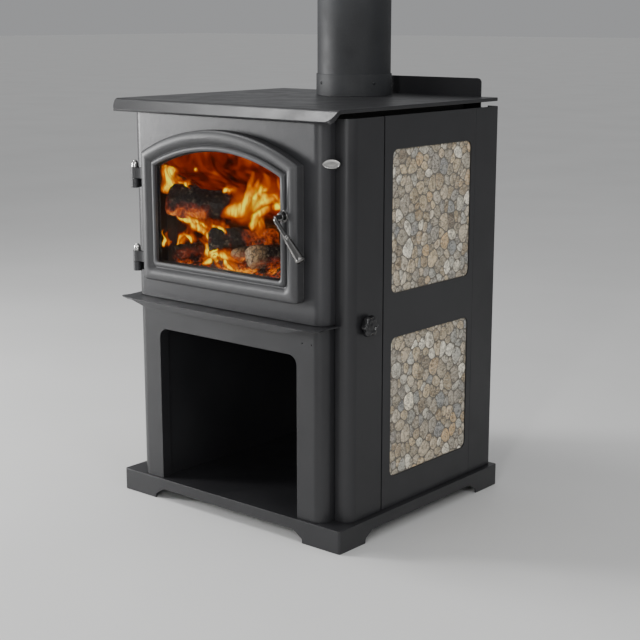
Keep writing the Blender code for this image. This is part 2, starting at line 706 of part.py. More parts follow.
def make_handle():
    """Bushing on the door, then the rod, grip, end cap and latch cam that turn in it."""
    bushing = turned("handle_bushing", [(0, 0.0125), (0.0082, 0.0125), (0.0088, 0.0095),
                                        (0.0092, 0.0050), (0.0122, 0.0018), (0.0128, 0), (0, 0)],
                     (HANDLE.x, BUSHING_Y, HANDLE.z), (0, -1, 0), 28)
    cut(bushing, rod("cut_bushing", ROD_R + 0.0006, (HANDLE.x, -0.34, HANDLE.z),
                     (HANDLE.x, -0.31, HANDLE.z), 24))

    along = (HANDLE_END - HANDLE).normalized()
    grip_start = HANDLE + along * GRIP_OFFSET
    path = [Vector((HANDLE.x, -0.2700, HANDLE.z)), Vector((HANDLE.x, HANDLE.y + 0.008, HANDLE.z))]
    bend = math.radians(90)
    for k in range(1, 5):
        t = bend * k / 5
        path.append(HANDLE + Vector((0, 1, 0)) * 0.008 * (1 - math.sin(t))
                    + along * 0.008 * (1 - math.cos(t)))
    path += [HANDLE + along * 0.008, grip_start - along * GAP]
    curve = bpy.data.curves.new("handle_rod", "CURVE")
    curve.dimensions = "3D"
    curve.bevel_depth = ROD_R
    curve.bevel_resolution = 3
    curve.use_fill_caps = True
    spline = curve.splines.new("POLY")
    spline.points.add(len(path) - 1)
    for point, where in zip(spline.points, path):
        point.co = (*where, 1.0)
    source = bpy.data.objects.new("handle_rod", curve)
    bpy.context.scene.collection.objects.link(source)
    bpy.context.view_layer.update()
    depsgraph = bpy.context.evaluated_depsgraph_get()
    mesh = bpy.data.meshes.new_from_object(source.evaluated_get(depsgraph))
    bpy.data.objects.remove(source)
    bm = bmesh.new()
    bm.from_mesh(mesh)
    bmesh.ops.remove_doubles(bm, verts=bm.verts, dist=1e-6)
    lever = place(from_bmesh("handle_rod", bm), "nickel")

    grip = turned("handle_grip", [(0, GRIP_LENGTH), (0.0094, GRIP_LENGTH), (0.0090, 0.0480),
                                  (0.0072, 0.0120), (0.0064, 0.0045), (0.0074, 0.0038),
                                  (0.0074, 0.0006), (0.0066, 0), (0, 0)], grip_start, along, 24)
    cap = turned("handle_end_cap", [(0, 0.0078), (0.0060, 0.0074), (0.0092, 0.0058),
                                    (GRIP_CAP_R, 0.0030), (GRIP_CAP_R, 0.0012), (0.0096, 0),
                                    (0, 0)],
                 grip_start + along * (GRIP_LENGTH + GAP), along, 24)
    arm = flat("latch_cam", [fillet([(-0.008, -0.008), (0.016, -0.005), (0.016, 0.005),
                                     (-0.008, 0.008)], (0.0075, 0.003, 0.003, 0.0075), 5),
                             circle(0, 0, ROD_R + GAP, 20)], -0.2775, -0.2715, "XZ")
    arm.data.transform(Matrix.Translation((HANDLE.x, 0, HANDLE.z)))
    turning = [lever, place(grip, "nickel"), place(cap, "nickel"), place(arm, "dark_steel")]
    return place(bushing, "nickel"), turning


def make_keeper():
    """Bar welded behind the edge of the door opening, which the cam turns behind."""
    place(box("latch_keeper", (0.2045, -0.2840, 0.6800), (0.2330, -0.2780, 0.6962), 0.0008),
          "dark_steel")


# ---------------------------------------------------------------- air control
def make_air_control():
    duct_z = (0.4440, BOX_BOTTOM - GAP)
    duct_x = (0.1200, STORE_OPEN_HALF + 0.0035 - GAP)
    duct = box("air_duct", (duct_x[0], -0.275, duct_z[0]), (duct_x[1], -0.131, duct_z[1]))
    hollow = box("cut_duct", (duct_x[0] + 0.002, -0.273, duct_z[0] + 0.002),
                 (duct_x[1] - 0.002, -0.10, duct_z[1] - 0.002))
    outlet = box("cut_duct_outlet", (0.135, -0.268, duct_z[1] - 0.01),
                 (0.195, -0.240, duct_z[1] + 0.01))
    hole = rod("cut_duct_rod_hole", AIR_ROD_R + 0.0008, (duct_x[1] - 0.01, *AIR_KNOB.yz),
               (duct_x[1] + 0.01, *AIR_KNOB.yz), 20)
    cut(duct, hollow, outlet, hole)
    place(duct, "dark_steel")

    lobes = [((0.0215 + 0.0025 * math.cos(6 * a)) * math.cos(a),
              (0.0215 + 0.0025 * math.cos(6 * a)) * math.sin(a))
             for a in (2 * math.pi * k / 48 for k in range(48))]
    knob = flat("air_knob", [lobes], CASE_HALF + 0.0012, KNOB_FACE_X, "YZ")
    knob.data.transform(Matrix.Translation((0, AIR_KNOB.y, AIR_KNOB.z)))
    spindle = rod("air_spindle", AIR_ROD_R, (CASE_HALF + 0.0009, *AIR_KNOB.yz),
                  (0.126, *AIR_KNOB.yz), 20)
    z = AIR_KNOB.z - AIR_ROD_R - GAP
    shutter = box("air_shutter", (0.1235, AIR_KNOB.y - 0.0180, z - 0.0015),
                  (duct_x[1] - 0.0035, AIR_KNOB.y + 0.0180, z))
    return [place(knob, "knob_black"), place(spindle, "stainless"),
            place(shutter, "dark_steel")]


# ---------------------------------------------------------------- assembly
def main():
    make_base()
    make_store_front()
    make_log_store()
    make_ash_lip()
    make_firebox_front()
    make_firebox_shell()
    make_firebricks()
    make_baffle()
    make_top_plate()
    make_flue()
    make_columns()
    make_side_panels()
    make_rear_shield()
    make_badge()
    make_keeper()
    bushing, handle = make_handle()
    door = make_door() + make_hinges() + [bushing]
    air = make_air_control()
    hang(door, hinge_empty("door_axis", HINGE))
    hang(handle, hinge_empty("handle_axis", HANDLE))
    hang(air, hinge_empty("air_axis", AIR_KNOB))


clear_scene()
stove = collection("wood_burning_stove")
cutters = collection("cutters")
main()
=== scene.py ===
"""Looks for the wood burning stove: camera, light, materials and the detailed pieces."""
import json
import math
import random

import bmesh
import bpy
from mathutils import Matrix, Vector, noise


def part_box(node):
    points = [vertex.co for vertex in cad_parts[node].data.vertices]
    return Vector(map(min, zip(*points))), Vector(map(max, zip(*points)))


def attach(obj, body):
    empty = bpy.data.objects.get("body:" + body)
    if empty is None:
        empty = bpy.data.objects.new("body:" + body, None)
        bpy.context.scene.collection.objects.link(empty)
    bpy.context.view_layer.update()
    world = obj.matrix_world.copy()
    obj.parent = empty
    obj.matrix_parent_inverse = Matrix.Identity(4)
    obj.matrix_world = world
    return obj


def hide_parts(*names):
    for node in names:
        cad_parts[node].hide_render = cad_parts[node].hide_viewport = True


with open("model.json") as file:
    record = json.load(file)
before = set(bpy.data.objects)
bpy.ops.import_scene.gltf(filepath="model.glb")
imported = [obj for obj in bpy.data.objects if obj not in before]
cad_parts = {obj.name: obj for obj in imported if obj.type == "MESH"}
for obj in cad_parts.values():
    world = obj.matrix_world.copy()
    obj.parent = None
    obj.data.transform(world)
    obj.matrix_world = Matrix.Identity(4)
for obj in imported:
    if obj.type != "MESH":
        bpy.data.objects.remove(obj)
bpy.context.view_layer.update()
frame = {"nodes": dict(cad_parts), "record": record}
nodes = frame["nodes"]

FLOOR_HALF = 60.0          # the floor reaches this far, past the horizon of every view
TILE_LAP = 0.008           # how far a stone tile laps behind the side panel
PEBBLE_POINTS = 16         # points round one pebble
WINDOW_R = 0.0154          # corner radius of a field of pebbles
TURNED_ANGLE = 42.0        # facets of turned pieces that meet flatter than this look round
BADGE_HALF = (0.0180, 0.0095)
SCREW_POINTS = 16


# ---------------------------------------------------------------- camera, floor and light
def add_camera():
    data = bpy.data.cameras.new("camera")
    data.sensor_width = 36.0
    data.lens = 78.16
    camera = bpy.data.objects.new("camera", data)
    camera.location = (2.0546, -2.3835, 1.1043)
    camera.rotation_euler = (math.radians(90 - 12.394), 0.0, math.radians(40.095))
    bpy.context.scene.collection.objects.link(camera)
    bpy.context.scene.camera = camera


def add_softbox(name, place, target, width, height, power, colour=(1.0, 1.0, 1.0)):
    data = bpy.data.lights.new(name, "AREA")
    data.shape = "RECTANGLE"
    data.size = width
    data.size_y = height
    data.energy = power
    data.color = colour
    lamp = bpy.data.objects.new(name, data)
    lamp.location = place
    aim = Vector(target) - Vector(place)
    lamp.rotation_euler = aim.to_track_quat("-Z", "Y").to_euler()
    bpy.context.scene.collection.objects.link(lamp)


def add_studio():
    world = bpy.data.worlds.new("studio")
    world.use_nodes = True
    world.node_tree.nodes["Background"].inputs["Color"].default_value = (0.97, 0.98, 1.0, 1.0)
    world.node_tree.nodes["Background"].inputs["Strength"].default_value = 0.34
    bpy.context.scene.world = world
    add_softbox("key", (-2.95, -1.85, 0.98), (-0.25, -0.2, 0.85), 0.7, 0.8, 125.0)
    add_softbox("flap_light", (-1.6, -0.75, 3.2), (0.1, -0.2, 0.9), 0.9, 0.9, 46.0)
    add_softbox("front_strip", (1.75, -3.6, 1.6), (0.25, -0.1, 0.55), 0.25, 1.9, 48.0)
    add_softbox("side_fill", (3.2, -1.3, 2.2), (0.3, 0.0, 0.45), 1.0, 1.0, 27.0)
    sun = bpy.data.lights.new("zenith", "SUN")
    sun.energy = 0.55
    sun.angle = math.radians(50)
    lamp = bpy.data.objects.new("zenith", sun)
    bpy.context.scene.collection.objects.link(lamp)
    bm = bmesh.new()
    bmesh.ops.create_grid(bm, x_segments=1, y_segments=1, size=FLOOR_HALF)
    mesh = bpy.data.meshes.new("floor")
    bm.to_mesh(mesh)
    bm.free()
    floor = bpy.data.objects.new("floor", mesh)
    bpy.context.scene.collection.objects.link(floor)
    floor.data.materials.append(floor_material())


# ---------------------------------------------------------------- node helpers
class Shader:
    """A Principled material and short calls to build its node tree."""

    def __init__(self, name, rough=0.5, metal=0.0, colour=(0.5, 0.5, 0.5)):
        self.material = bpy.data.materials.new(name)
        self.material.use_nodes = True
        self.tree = self.material.node_tree
        self.bsdf = self.tree.nodes["Principled BSDF"]
        self.bsdf.inputs["Roughness"].default_value = rough
        self.bsdf.inputs["Metallic"].default_value = metal
        self.bsdf.inputs["Base Color"].default_value = (*colour, 1.0)
        self.position = self.tree.nodes.new("ShaderNodeTexCoord").outputs["Object"]

    def add(self, kind, inputs=None, **settings):
        node = self.tree.nodes.new("ShaderNode" + kind)
        for key, value in settings.items():
            setattr(node, key, value)
        for key, value in (inputs or {}).items():
            self.feed(value, node.inputs[key])
        return node

    def feed(self, value, socket):
        if isinstance(value, bpy.types.NodeSocket):
            self.tree.links.new(value, socket)
        else:
            socket.default_value = value

    def set(self, key, value):
        self.feed(value, self.bsdf.inputs[key])

    def stretched(self, scale):
        return self.add("Mapping", {"Vector": self.position, "Scale": scale}).outputs["Vector"]

    def noise(self, scale, detail=3.0, rough=0.5, distortion=0.0, at=None):
        return self.add("TexNoise", {"Vector": at or self.position, "Scale": scale,
                                     "Detail": detail, "Roughness": rough,
                                     "Distortion": distortion}).outputs["Fac"]

    def voronoi(self, scale, feature="F1", at=None):
        return self.add("TexVoronoi", {"Vector": at or self.position, "Scale": scale},
                        feature=feature).outputs["Distance"]

    def ramp(self, value, stops):
        """A colour ramp; each stop is (place, grey or colour)."""
        node = self.add("ValToRGB", {"Fac": value})
        band = node.color_ramp
        while len(band.elements) < len(stops):
            band.elements.new(0.5)
        for element, (place, colour) in zip(band.elements, stops):
            element.position = place
            rgb = (colour,) * 3 if isinstance(colour, (int, float)) else colour
            element.color = (*rgb, 1.0)
        return node.outputs["Color"]

    def math(self, how, a, b=0.0):
        return self.add("Math", {0: a, 1: b}, operation=how).outputs[0]

    def mix(self, factor, a, b, how="MIX"):
        node = self.add("Mix", data_type="RGBA", blend_type=how)
        self.feed(factor, node.inputs["Factor"])
        for value, key in ((a, 6), (b, 7)):
            if isinstance(value, tuple):
                value = (*value, 1.0) if len(value) == 3 else value
            self.feed(value, node.inputs[key])
        return node.outputs[2]

    def bump(self, height, distance, strength=1.0, after=None):
        inputs = {"Height": height, "Distance": distance, "Strength": strength}
        if after is not None:
            inputs["Normal"] = after
        normal = self.add("Bump", inputs).outputs["Normal"]
        self.set("Normal", normal)
        return normal


# ---------------------------------------------------------------- materials
def floor_material():
    shader = Shader("floor", 0.55)
    cloud = shader.noise(1.5, 4.0)
    shader.set("Base Color", shader.ramp(cloud, [(0.3, (0.70, 0.70, 0.69)),
                                                 (0.7, (0.74, 0.74, 0.73))]))
    shader.bump(shader.noise(400.0, 2.0), 0.0002, 0.3)
    return shader.material


def paint(name, dark, light, rough, grain_scale, grain_depth):
    """Baked stove paint: fine grain, faint clouding and a few rubbed patches."""
    shader = Shader(name, rough)
    cloud = shader.noise(5.0, 4.0, 0.55)
    grain = shader.noise(grain_scale, 2.0)
    tone = shader.math("ADD", shader.math("MULTIPLY", cloud, 0.6),
                       shader.math("MULTIPLY", grain, 0.4))
    shader.set("Base Color", shader.ramp(tone, [(0.32, dark), (0.68, light)]))
    rubbed = shader.ramp(shader.noise(14.0, 5.0, 0.6), [(0.35, rough - 0.05), (0.7, rough + 0.07)])
    shader.set("Roughness", rubbed)
    shader.set("Specular IOR Level", 0.42)
    first = shader.bump(grain, grain_depth, 0.5)
    shader.bump(shader.noise(40.0, 2.0), 0.0003, 0.06, first)
    return shader.material


def cast_paint(name, dark, light, rough):
    """Painted sand casting: pimpled skin under the paint."""
    shader = Shader(name, rough)
    cloud = shader.noise(8.0, 4.0)
    skin = shader.noise(420.0, 3.0, 0.6)
    tone = shader.math("ADD", shader.math("MULTIPLY", cloud, 0.5),
                       shader.math("MULTIPLY", skin, 0.5))
    shader.set("Base Color", shader.ramp(tone, [(0.3, dark), (0.7, light)]))
    shader.set("Roughness", shader.ramp(cloud, [(0.3, rough - 0.04), (0.7, rough + 0.04)]))
    first = shader.bump(skin, 0.0005, 0.45)
    shader.bump(shader.noise(60.0, 2.0), 0.0012, 0.18, first)
    return shader.material


def satin_metal(name, colour, rough, stretch, depth=0.00005):
    """Plated or plain steel with fine lines drawn along one direction."""
    shader = Shader(name, rough, 1.0)
    lines = shader.noise(1.0, 3.0, 0.6, at=shader.stretched(stretch))
    patches = shader.noise(30.0, 3.0)
    shade = tuple(c * 0.72 for c in colour)
    shader.set("Base Color", shader.mix(shader.math("MULTIPLY", lines, 0.9), shade, colour))
    shader.set("Roughness", shader.ramp(patches, [(0.3, rough - 0.06), (0.7, rough + 0.08)]))
    shader.bump(lines, depth, 0.5)
    return shader.material


def dark_steel():
    """Bare firebox plate: mill scale with rust brown blooms."""
    shader = Shader("dark_steel", 0.6)
    cloud = shader.noise(12.0, 5.0, 0.65)
    shader.set("Base Color", shader.ramp(cloud, [(0.35, (0.022, 0.021, 0.021)),
                                                 (0.62, (0.040, 0.036, 0.033)),
                                                 (0.8, (0.065, 0.042, 0.030))]))
    shader.set("Roughness", shader.ramp(cloud, [(0.3, 0.5), (0.7, 0.72)]))
    shader.bump(shader.noise(350.0, 3.0), 0.0003, 0.4)
    return shader.material


def grout():
    shader = Shader("grout", 0.9)
    sand = shader.noise(900.0, 3.0, 0.7)
    cloud = shader.noise(25.0, 3.0)
    tone = shader.math("ADD", shader.math("MULTIPLY", sand, 0.6),
                       shader.math("MULTIPLY", cloud, 0.4))
    shader.set("Base Color", shader.ramp(tone, [(0.3, (0.13, 0.12, 0.10)),
                                                (0.7, (0.24, 0.22, 0.19))]))
    shader.bump(sand, 0.0004, 0.6)
    return shader.material


def pebble():
    """River pebbles: each one has its own colour, with veins, bands and speckles."""
    shader = Shader("pebble", 0.5)
    each = shader.add("NewGeometry").outputs["Random Per Island"]
    body = shader.ramp(each, [
        (0.00, (0.17, 0.14, 0.11)), (0.10, (0.42, 0.34, 0.23)), (0.20, (0.25, 0.25, 0.25)),
        (0.30, (0.56, 0.45, 0.30)), (0.40, (0.31, 0.27, 0.21)), (0.50, (0.47, 0.44, 0.38)),
        (0.58, (0.54, 0.38, 0.21)), (0.66, (0.21, 0.22, 0.23)), (0.74, (0.76, 0.72, 0.62)),
        (0.82, (0.35, 0.26, 0.16)), (0.90, (0.31, 0.31, 0.29)), (1.00, (0.84, 0.77, 0.62))])
    shifted = shader.add("VectorMath", {0: shader.position, 1: each}, operation="ADD")
    veins = shader.noise(120.0, 6.0, 0.65, 1.2, at=shifted.outputs["Vector"])
    bands = shader.noise(1.0, 4.0, 0.6, 2.0, at=shader.stretched((60.0, 60.0, 240.0)))
    veined = shader.mix(shader.ramp(veins, [(0.38, 0.0), (0.58, 1.0)]),
                        (0.26, 0.25, 0.23), (1.48, 1.46, 1.40))
    tinted = shader.mix(0.9, body, veined, "MULTIPLY")
    banded = shader.mix(shader.ramp(bands, [(0.52, 0.0), (0.60, 0.45)]), tinted,
                        (0.70, 0.65, 0.53))
    speck = shader.ramp(shader.noise(700.0, 2.0), [(0.60, 0.0), (0.68, 0.45)])
    shader.set("Base Color", shader.mix(speck, banded, (0.12, 0.11, 0.10)))
    shader.set("Roughness", shader.ramp(veins, [(0.3, 0.34), (0.7, 0.55)]))
    shader.bump(veins, 0.0007, 0.6)
    return shader.material


def firebrick():
    shader = Shader("firebrick", 0.9)
    sand = shader.noise(300.0, 4.0, 0.7)
    soot = shader.noise(9.0, 4.0, 0.6)
    tone = shader.ramp(sand, [(0.3, (0.12, 0.08, 0.05)), (0.7, (0.22, 0.15, 0.09))])
    smoke = shader.ramp(soot, [(0.30, 0.35), (0.60, 0.95)])
    shader.set("Base Color", shader.mix(smoke, tone, (0.035, 0.028, 0.024)))
    pores = shader.voronoi(260.0)
    first = shader.bump(sand, 0.0006, 0.5)
    shader.bump(pores, 0.0008, 0.35, first)
    return shader.material


def fibre_board():
    shader = Shader("ceramic_board", 0.95)
    fibres = shader.noise(1.0, 5.0, 0.7, 0.8, at=shader.stretched((120.0, 420.0, 120.0)))
    shader.set("Base Color", shader.ramp(fibres, [(0.3, (0.42, 0.38, 0.32)),
                                                  (0.7, (0.66, 0.62, 0.55))]))
    shader.bump(fibres, 0.0005, 0.5)
    return shader.material


def rope():
    """Braided glass fibre rope."""
    shader = Shader("rope_seal", 0.95)
    twill = shader.add("TexWave", {"Vector": shader.position, "Scale": 160.0,
                                   "Distortion": 2.0, "Detail": 2.0},
                       bands_direction="DIAGONAL").outputs["Fac"]
    shader.set("Base Color", shader.ramp(twill, [(0.2, (0.09, 0.09, 0.09)),
                                                 (0.8, (0.26, 0.25, 0.24))]))
    shader.bump(twill, 0.0006, 0.7)
    return shader.material


def clear_glass():
    shader = Shader("glass", 0.02, 0.0, (0.95, 0.97, 0.97))
    shader.set("Transmission Weight", 1.0)
    shader.set("IOR", 1.12)
    haze = shader.noise(3.0, 3.0)
    shader.set("Roughness", shader.ramp(haze, [(0.4, 0.0), (0.8, 0.02)]))
    return shader.material


def knob_black():
    shader = Shader("knob_black", 0.12)
    smear = shader.noise(90.0, 4.0, 0.6)
    shader.set("Base Color", shader.ramp(smear, [(0.3, (0.008, 0.008, 0.009)),
                                                 (0.7, (0.016, 0.016, 0.017))]))
    shader.set("Roughness", shader.ramp(smear, [(0.35, 0.05), (0.75, 0.16)]))
    shader.bump(smear, 0.0009, 0.45)
    return shader.material


def charcoal():
    """Burnt wood: blocky cracked char with pale ash flecks, glowing along its underside."""
    shader = Shader("charcoal", 0.85)
    jitter = shader.add("TexNoise", {"Vector": shader.position, "Scale": 38.0, "Detail": 4.0})
    wobble = shader.add("VectorMath", {0: jitter.outputs["Color"], 1: (0.040, 0.040, 0.040),
                                       2: shader.position}, operation="MULTIPLY_ADD")
    at = wobble.outputs["Vector"]
    crack = shader.voronoi(85.0, "DISTANCE_TO_EDGE", at)
    fine = shader.noise(200.0, 5.0, 0.7)
    flecks = shader.ramp(shader.noise(95.0, 5.0, 0.7), [(0.56, 0.0), (0.66, 0.9)])
    char = shader.ramp(fine, [(0.3, (0.010, 0.008, 0.007)), (0.7, (0.038, 0.030, 0.025))])
    ash = shader.add("Attribute", attribute_name="ash").outputs["Fac"]
    pale = shader.ramp(fine, [(0.3, (0.30, 0.20, 0.11)), (0.7, (0.62, 0.48, 0.32))])
    burnt = shader.mix(flecks, char, (0.24, 0.19, 0.13))
    ash = shader.math("MULTIPLY", ash, shader.ramp(crack, [(0.02, 0.15), (0.12, 1.0)]))
    shader.set("Base Color", shader.mix(ash, burnt, pale))
    under = shader.add("Attribute", attribute_name="under").outputs["Fac"]
    hot = shader.ramp(crack, [(0.0, 0.75), (0.04, 0.28), (0.14, 0.0)])
    patch = shader.ramp(shader.noise(16.0, 4.0, 0.6), [(0.42, 0.0), (0.62, 1.0)])
    glow = shader.math("MULTIPLY", shader.math("ADD", hot, shader.math("MULTIPLY", patch, 0.62)),
                       shader.math("MULTIPLY", patch, under))
    lit = shader.ramp(glow, [(0.02, (0.0, 0.0, 0.0)), (0.20, (0.16, 0.010, 0.0)),
                             (0.50, (0.55, 0.085, 0.0)), (0.90, (1.0, 0.40, 0.01))])
    warm = shader.ramp(fine, [(0.3, (0.10, 0.035, 0.008)), (0.7, (0.34, 0.20, 0.08))])
    shader.set("Emission Color", shader.mix(ash, lit, warm))
    shader.set("Emission Strength", 0.9)
    first = shader.bump(crack, 0.004, 0.8)
    shader.bump(fine, 0.001, 0.5, first)
    return shader.material


def ember():
    """Broken glowing coals under a skin of ash."""
    shader = Shader("embers", 0.9)
    lump = shader.voronoi(74.0, "DISTANCE_TO_EDGE")
    fine = shader.noise(160.0, 4.0, 0.7)
    shader.set("Base Color", shader.ramp(fine, [(0.3, (0.02, 0.016, 0.014)),
                                                (0.7, (0.14, 0.11, 0.09))]))
    heat = shader.math("SUBTRACT", shader.noise(19.0, 4.0, 0.65),
                       shader.math("MULTIPLY", lump, 0.8))
    shader.set("Emission Color", shader.ramp(heat, [(0.36, (0.0, 0.0, 0.0)),
                                                    (0.45, (0.20, 0.008, 0.0)),
                                                    (0.54, (0.65, 0.07, 0.0)),
                                                    (0.66, (1.0, 0.36, 0.01))]))
    shader.set("Emission Strength", 0.9)
    first = shader.bump(lump, 0.005, 0.8)
    shader.bump(fine, 0.001, 0.5, first)
    return shader.material


def flame():
    """Flame tongue: bright thready core, red torn edges, clear between the threads."""
    shader = Shader("flame", 1.0, 0.0, (0.0, 0.0, 0.0))
    shader.set("Specular IOR Level", 0.0)
    core = shader.add("Attribute", attribute_name="core").outputs["Fac"]
    life = shader.add("Attribute", attribute_name="life").outputs["Fac"]
    threads = shader.noise(1.0, 4.0, 0.55, 1.0, at=shader.stretched((60.0, 60.0, 26.0)))
    tear = shader.ramp(threads, [(0.30, 0.0), (0.62, 1.0)])
    heat = shader.math("MULTIPLY", shader.math("MULTIPLY", core, life),
                       shader.math("ADD", shader.math("MULTIPLY", tear, 0.85), 0.34))
    shader.set("Emission Color", shader.ramp(heat, [(0.04, (0.08, 0.003, 0.0)),
                                                    (0.20, (0.26, 0.020, 0.0)),
                                                    (0.38, (0.52, 0.100, 0.0)),
                                                    (0.54, (0.74, 0.320, 0.0)),
                                                    (0.68, (0.88, 0.600, 0.0)),
                                                    (0.92, (1.00, 0.880, 0.02))]))
    shader.set("Emission Strength", 1.30)
    shader.set("Alpha", shader.ramp(heat, [(0.05, 0.0), (0.22, 0.35), (0.45, 0.78), (0.75, 1.0)]))
    return shader.material


def flame_painted_shade_and_glow():
    """The slow deep red flame that fills the top of the fire, on a near-black sheet that is painted
    shade and painted firelight for the depth of the firebox: dark rolls and orange licks.
    """
    shader = Shader("flame_painted_shade_and_glow", 1.0, 0.0, (0.0, 0.0, 0.0))
    shader.set("Specular IOR Level", 0.0)
    fade = shader.add("Attribute", attribute_name="fade").outputs["Fac"]
    rolls = shader.noise(1.0, 3.0, 0.5, 1.6, at=shader.stretched((13.0, 8.0, 11.0)))
    licks = shader.noise(1.0, 5.0, 0.6, 2.2, at=shader.stretched((34.0, 20.0, 15.0)))
    heat = shader.math("ADD", shader.math("MULTIPLY", rolls, 0.62),
                       shader.math("MULTIPLY", licks, 0.38))
    # Painted shade and painted firelight: the near-black rolls stand in for the shaded depth of the
    # firebox, the dim red for firelight on it; the orange licks are flame.
    shader.set("Emission Color", shader.ramp(heat, [(0.36, (0.014, 0.001, 0.0)),
                                                    (0.45, (0.060, 0.003, 0.0)),
                                                    (0.53, (0.200, 0.011, 0.0)),
                                                    (0.61, (0.360, 0.032, 0.0)),
                                                    (0.72, (0.620, 0.150, 0.0))]))
    shader.set("Emission Strength", 0.9)
    shader.set("Alpha", fade)
    return shader.material


# ---------------------------------------------------------------- pieces from mesh code
def piece(name, bm, look, body, smooth_angle=35.0):
    bmesh.ops.recalc_face_normals(bm, faces=bm.faces)
    mesh = bpy.data.meshes.new(name)
    bm.to_mesh(mesh)
    bm.free()
    mesh.shade_smooth()
    mesh.set_sharp_from_angle(angle=math.radians(smooth_angle))
    made = bpy.data.objects.new(name, mesh)
    bpy.context.scene.collection.objects.link(made)
    mesh.materials.append(look)
    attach(made, body)
    return made


def skin(bm, rings):
    """Join equal rings into a tube and close both ends."""
    rows = [[bm.verts.new(p) for p in ring] for ring in rings]
    for here, there in zip(rows, rows[1:]):
        for k in range(len(here)):
            n = (k + 1) % len(here)
            bm.faces.new((here[k], here[n], there[n], there[k]))
    bm.faces.new(rows[0])
    bm.faces.new(rows[-1])
    return rows


def eased(node, width, look, body="stove", angle=30.0):
    """The CAD node's own shape with its sharp edges eased, as pressed or cast metal has."""
    source = nodes[node]
    bm = bmesh.new()
    bm.from_mesh(source.data)
    bmesh.ops.remove_doubles(bm, verts=bm.verts, dist=1e-5)
    bmesh.ops.dissolve_limit(bm, angle_limit=math.radians(0.5), verts=bm.verts, edges=bm.edges)
    mesh = bpy.data.meshes.new(node + "_eased")
    bm.to_mesh(mesh)
    bm.free()
    made = bpy.data.objects.new(node + "_eased", mesh)
    bpy.context.scene.collection.objects.link(made)
    mesh.shade_smooth()
    if width:
        bevel = made.modifiers.new("ease", "BEVEL")
        bevel.width = width
        bevel.segments = 2
        bevel.limit_method = "ANGLE"
        bevel.angle_limit = math.radians(angle)
        weigh = made.modifiers.new("weigh", "WEIGHTED_NORMAL")
        weigh.keep_sharp = False
        weigh.weight = 80
    else:
        mesh.set_sharp_from_angle(angle=math.radians(angle))
    bpy.context.view_layer.update()
    depsgraph = bpy.context.evaluated_depsgraph_get()
    done = bpy.data.meshes.new_from_object(made.evaluated_get(depsgraph))
    made.modifiers.clear()
    made.data = done
    done.materials.clear()
    done.materials.append(look)
    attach(made, body)
    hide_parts(node)
    return made


# ---------------------------------------------------------------- pebble inlays
def clip(polygon, point, normal):
    """Keep the part of a convex polygon behind a line."""
    kept = []
    for i, here in enumerate(polygon):
        there = polygon[(i + 1) % len(polygon)]
        a = (here[0] - point[0]) * normal[0] + (here[1] - point[1]) * normal[1]
        b = (there[0] - point[0]) * normal[0] + (there[1] - point[1]) * normal[1]
        if a <= 0:
            kept.append(here)
        if (a < 0 < b) or (b < 0 < a):
            t = a / (a - b)
            kept.append((here[0] + t * (there[0] - here[0]), here[1] + t * (there[1] - here[1])))
    return kept


def window_outline(y0, y1, z0, z1, radius, steps=6):
    """Rounded rectangle in Y, Z."""
    points = []
    for cy, cz, start in ((y1 - radius, z1 - radius, 0), (y0 + radius, z1 - radius, 90),
                          (y0 + radius, z0 + radius, 180), (y1 - radius, z0 + radius, 270)):
        for k in range(steps + 1):
            angle = math.radians(start + 90 * k / steps)
            points.append((cy + radius * math.cos(angle), cz + radius * math.sin(angle)))
    return points


def scatter(y0, y1, z0, z1, rng):
    """Points (y, z, size) that keep a pebble's distance apart, closer across than upright."""
    placed = []
    for _ in range(5200):
        size = rng.choice((0.0150, 0.0185, 0.0215, 0.0215, 0.0250, 0.0290))
        spot = (rng.uniform(y0 - 0.01, y1 + 0.01), rng.uniform(z0 - 0.01, z1 + 0.01), size)
        if all(math.hypot((spot[0] - p[0]) * 1.30, (spot[1] - p[1]) * 0.80)
               > (size + p[2]) / 2 for p in placed):
            placed.append(spot)
    return placed


def rounded(polygon, count):
    """Cut the corners twice, then space the points evenly."""
    for _ in range(2):
        cut = []
        for i, here in enumerate(polygon):
            there = polygon[(i + 1) % len(polygon)]
            cut.append((here[0] * 0.75 + there[0] * 0.25, here[1] * 0.75 + there[1] * 0.25))
            cut.append((here[0] * 0.25 + there[0] * 0.75, here[1] * 0.25 + there[1] * 0.75))
        polygon = cut
    lengths = [math.dist(polygon[i], polygon[(i + 1) % len(polygon)]) for i in range(len(polygon))]
    step = sum(lengths) / count
    even = []
    travelled = 0.0
    for i, length in enumerate(lengths):
        here, there = polygon[i], polygon[(i + 1) % len(polygon)]
        while len(even) < count and len(even) * step <= travelled + length:
            t = (len(even) * step - travelled) / max(length, 1e-9)
            even.append((here[0] + t * (there[0] - here[0]), here[1] + t * (there[1] - here[1])))
        travelled += length
    return even


